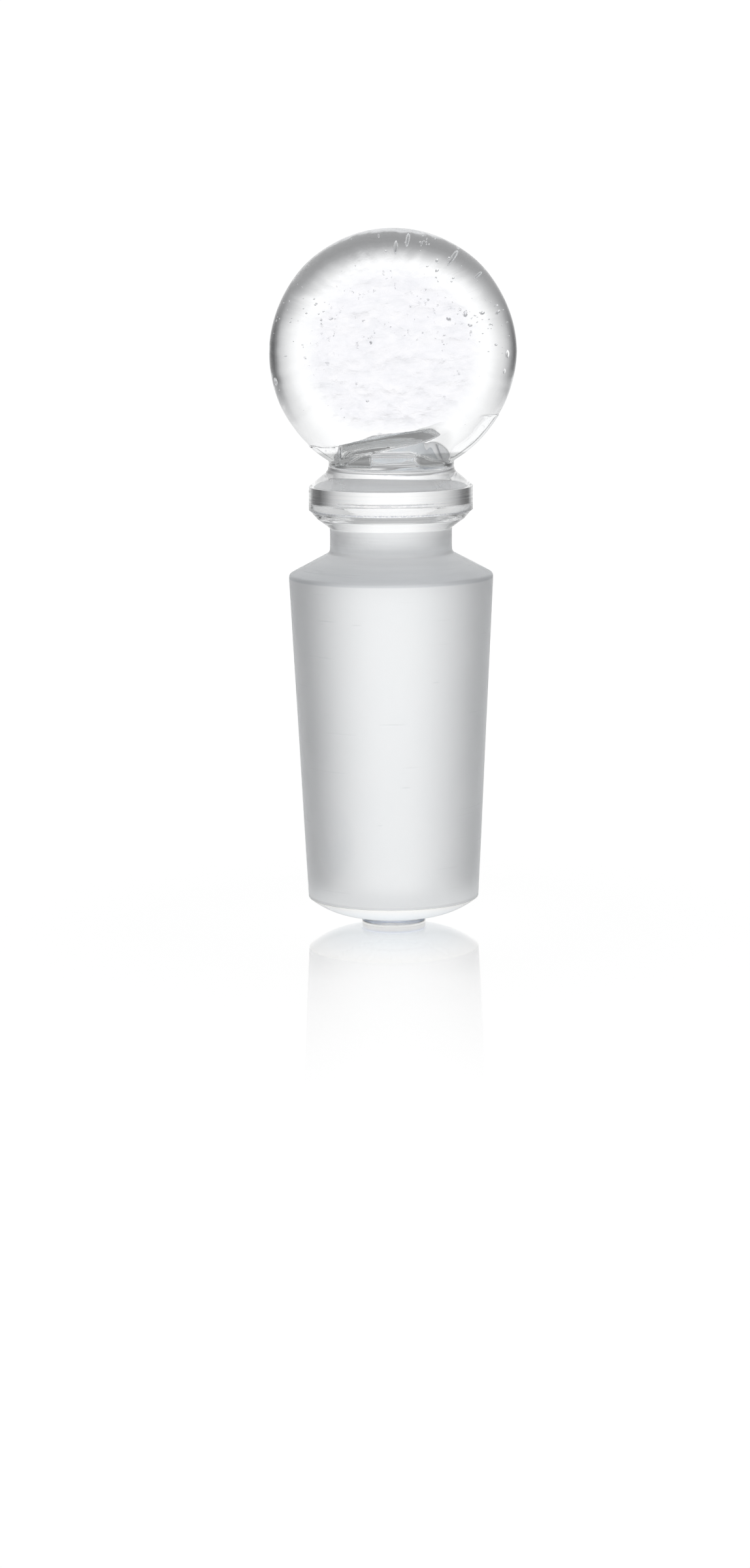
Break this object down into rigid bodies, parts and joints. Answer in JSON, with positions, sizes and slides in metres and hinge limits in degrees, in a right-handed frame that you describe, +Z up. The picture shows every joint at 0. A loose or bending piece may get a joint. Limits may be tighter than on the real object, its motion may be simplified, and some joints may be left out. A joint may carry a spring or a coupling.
{
  "type": "ground glass stopper",
  "caption": "Solid glass stopper: a flat round pressed head on a short neck, a turned collar, a frosted waist and a ground 1:10 tapered plug with a polished end.",
  "frame": {"origin": "centre of the small flat nub at the foot of the polished end, on the plug's axis", "axes": "+Z up along the plug's axis towards the head; the flat faces of the head look along -Y and +Y; +X runs across the head"},
  "size_m": [0.0174, 0.0144, 0.0494],
  "materials": {
    "fire_polished_glass": "clear, fire polished, with chill wrinkles and a few seeds",
    "cut_glass": "clear, turned, with fine lathe lines",
    "ground_glass": "finely ground, frosted",
    "polished_glass": "clear, polished"
  },
  "bodies": {
    "root": {"pressed_head": "fire_polished_glass", "fused_neck": "fire_polished_glass", "collar": "cut_glass", "waist": "ground_glass", "ground_plug": "ground_glass", "polished_end": "polished_glass"}
  },
  "joints": []
}
